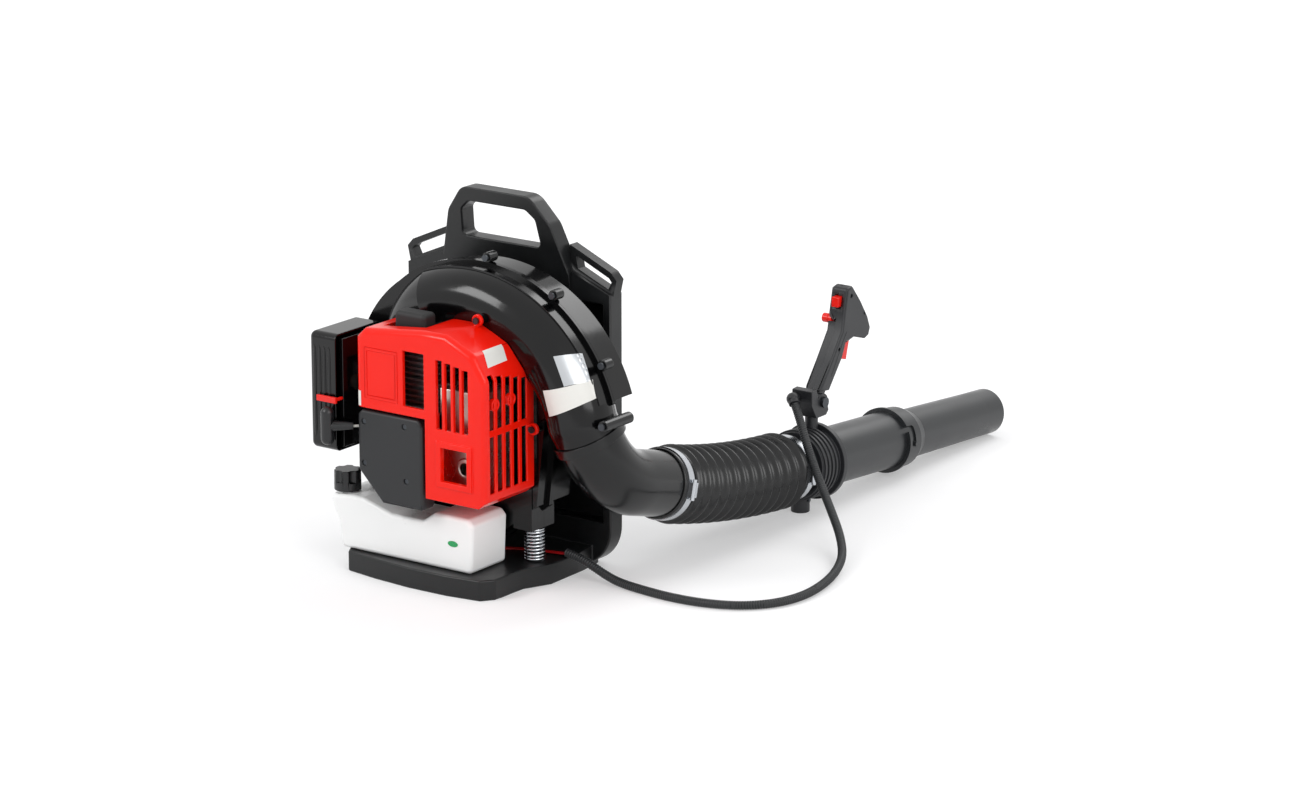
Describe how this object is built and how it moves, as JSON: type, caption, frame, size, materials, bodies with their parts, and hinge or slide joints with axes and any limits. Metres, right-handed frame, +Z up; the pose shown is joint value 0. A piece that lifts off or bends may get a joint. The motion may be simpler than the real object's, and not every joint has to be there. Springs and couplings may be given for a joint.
{
  "type": "backpack leaf blower",
  "caption": "Petrol backpack blower: moulded back frame, fan housing with engine and red cover, fuel tank, bellows, straight blower tube and pistol grip.",
  "frame": {"origin": "middle of the base tray on the ground plane, under the fan's middle plane", "axes": "+X towards the side with the blower tube, the wearer's right; +Y towards the wearer's back and along the blower tube; +Z up"},
  "size_m": [0.6265, 1.1, 0.495],
  "materials": {
    "frame_plastic": "moulded, fine grained, semi-matte",
    "pad_foam": "woven cover over foam",
    "housing_plastic": "smooth moulded, glossy",
    "duct_plastic": "moulded, satin",
    "tube_plastic": "extruded, satin",
    "handle_plastic": "moulded, fine grained",
    "red_cover": "smooth moulded, glossy",
    "red_trim": "moulded, satin gloss",
    "starter_plastic": "moulded, fine grained",
    "filter_plastic": "smooth moulded, glossy",
    "tank_plastic": "translucent natural polyethylene",
    "cap_plastic": "moulded, satin",
    "bellows_rubber": "soft, satin",
    "rubber": "matte",
    "spring_steel": "bright plated",
    "zinc_steel": "zinc plated",
    "dark_screw": "black zinc",
    "shaft_steel": "ground",
    "die_cast": "as cast, blasted",
    "fan_plastic": "glass filled nylon",
    "muffler_steel": "dull, heat toned",
    "gasket": "pressed fibre",
    "heat_block": "phenolic",
    "filter_felt": "pleated felt",
    "primer_clear": "clear, soft",
    "hose_rubber": "fuel hose",
    "conduit_plastic": "corrugated",
    "wire_red": "insulation",
    "rope_fibre": "braided nylon"
  },
  "bodies": {
    "chassis": {"backpack_frame": "frame_plastic", "back_pad": "pad_foam", "pad_rivets": "rubber", "mount_springs": "spring_steel", "rubber_dampers": "rubber", "housing_front_shell": "housing_plastic", "housing_rear_shell": "housing_plastic", "housing_clamps": "duct_plastic", "housing_screws": "dark_screw", "intake_guard": "duct_plastic", "crankcase": "die_cast", "ignition_coil": "heat_block", "engine_cylinder": "die_cast", "spark_plug": "shaft_steel", "plug_boot": "rubber", "exhaust_gasket": "gasket", "muffler": "muffler_steel", "intake_insulator": "heat_block", "carburettor": "die_cast", "filter_base": "filter_plastic", "filter_element": "filter_felt", "filter_cover": "filter_plastic", "starter_cover": "starter_plastic", "starter_screws": "dark_screw", "recoil_spring": "shaft_steel", "engine_cover": "red_cover", "cover_screws": "dark_screw", "fuel_tank": "tank_plastic", "fuel_hoses": "hose_rubber", "outlet_band": "duct_plastic", "control_conduit": "conduit_plastic", "control_wires": "wire_red"},
    "rotor": {"impeller": "fan_plastic", "crankshaft": "shaft_steel", "flywheel": "die_cast"},
    "piston_body": {"piston": "die_cast"},
    "knob": {"filter_knob": "filter_plastic"},
    "choke": {"choke_lever": "red_trim"},
    "primer": {"primer_bulb": "primer_clear"},
    "pull_grip": {"starter_grip": "cap_plastic", "starter_rope": "rope_fibre"},
    "pulley": {"starter_pulley": "fan_plastic"},
    "cap": {"fuel_cap": "cap_plastic", "cap_seal": "rubber"},
    "elbow_body": {"elbow": "duct_plastic", "hose_clamp_upper": "zinc_steel", "bellows": "bellows_rubber"},
    "air_tube": {"blower_tube": "tube_plastic", "pipe_clamp": "handle_plastic", "clamp_screw": "dark_screw", "hose_clamp_lower": "zinc_steel", "conduit_gland": "handle_plastic"},
    "nozzle_body": {"nozzle": "tube_plastic"},
    "handle": {"handle_left_shell": "handle_plastic", "handle_right_shell": "handle_plastic", "handle_fixings": "dark_screw", "pivot_bolt": "dark_screw"},
    "trigger": {"throttle_trigger": "red_trim"},
    "cruise": {"cruise_lever": "red_trim"},
    "stop": {"stop_switch": "red_trim"}
  },
  "joints": [
    {"name": "fan_spin", "type": "hinge", "parent": "chassis", "child": "rotor", "pos_m": [-0.02, 0, 0.18], "axis": [0, 1, 0], "continuous": true},
    {"name": "piston_stroke", "type": "slide", "parent": "chassis", "child": "piston_body", "axis": [0, 0, 1], "range_m": [0, 0.034]},
    {"name": "filter_knob_turn", "type": "hinge", "parent": "chassis", "child": "knob", "pos_m": [-0.16, -0.08, 0.247], "axis": [-1, 0, 0], "range_deg": [0, 360]},
    {"name": "choke_turn", "type": "hinge", "parent": "chassis", "child": "choke", "pos_m": [-0.1073, -0.13, 0.24], "axis": [0, 1, 0], "range_deg": [0, 60]},
    {"name": "primer_press", "type": "slide", "parent": "chassis", "child": "primer", "axis": [0, 1, 0], "range_m": [0, 0.004], "stiffness_N_per_m": 400, "deforming": ["primer_bulb"]},
    {"name": "starter_pull", "type": "slide", "parent": "chassis", "child": "pull_grip", "axis": [-0.829, -0.5593, 0], "range_m": [0, 0.45], "stiffness_N_per_m": 20, "springref_m": -0.3, "deforming": ["starter_rope"]},
    {"name": "pulley_turn", "type": "hinge", "parent": "chassis", "child": "pulley", "pos_m": [-0.02, -0.12, 0.18], "axis": [0, -1, 0], "range_deg": [0, 1040]},
    {"name": "cap_turn", "type": "hinge", "parent": "chassis", "child": "cap", "pos_m": [-0.131, -0.086, 0.12], "axis": [0, 0, 1], "range_deg": [0, 540]},
    {"name": "outlet_swivel", "type": "hinge", "parent": "chassis", "child": "elbow_body", "pos_m": [0.2066, -0.0016, 0.20363], "axis": [0.2801, 0.2801, -0.9182], "range_deg": [-4, 30], "deforming": ["control_conduit"]},
    {"name": "tube_bend", "type": "hinge", "parent": "elbow_body", "child": "air_tube", "pos_m": [0.222, 0.27442, 0.08708], "axis": [1, 0, 0], "range_deg": [-15, 20], "deforming": ["bellows", "control_conduit"]},
    {"name": "nozzle_twist", "type": "hinge", "parent": "air_tube", "child": "nozzle_body", "pos_m": [0.222, 0.944, 0.033], "axis": [0, 0.9975, -0.0708], "range_deg": [0, 30]},
    {"name": "handle_tilt", "type": "hinge", "parent": "air_tube", "child": "handle", "pos_m": [0.223, 0.49, 0.152], "axis": [1, 0, 0], "range_deg": [-30, 15]},
    {"name": "throttle_pull", "type": "hinge", "parent": "handle", "child": "trigger", "pos_m": [0.223, 0.56, 0.236], "axis": [1, 0, 0], "range_deg": [-12, 0], "stiffness_Nm_per_rad": 0.4, "springref_deg": 8.59},
    {"name": "cruise_set", "type": "hinge", "parent": "handle", "child": "cruise", "pos_m": [0.209, 0.549, 0.254], "axis": [1, 0, 0], "range_deg": [-45, 0]},
    {"name": "stop_rock", "type": "hinge", "parent": "handle", "child": "stop", "pos_m": [0.223, 0.549, 0.28], "axis": [1, 0, 0], "range_deg": [-6, 6]}
  ],
  "couplings": [
    {"joint": "pulley_turn", "follows": "starter_pull", "rad_per_m": 40}
  ]
}
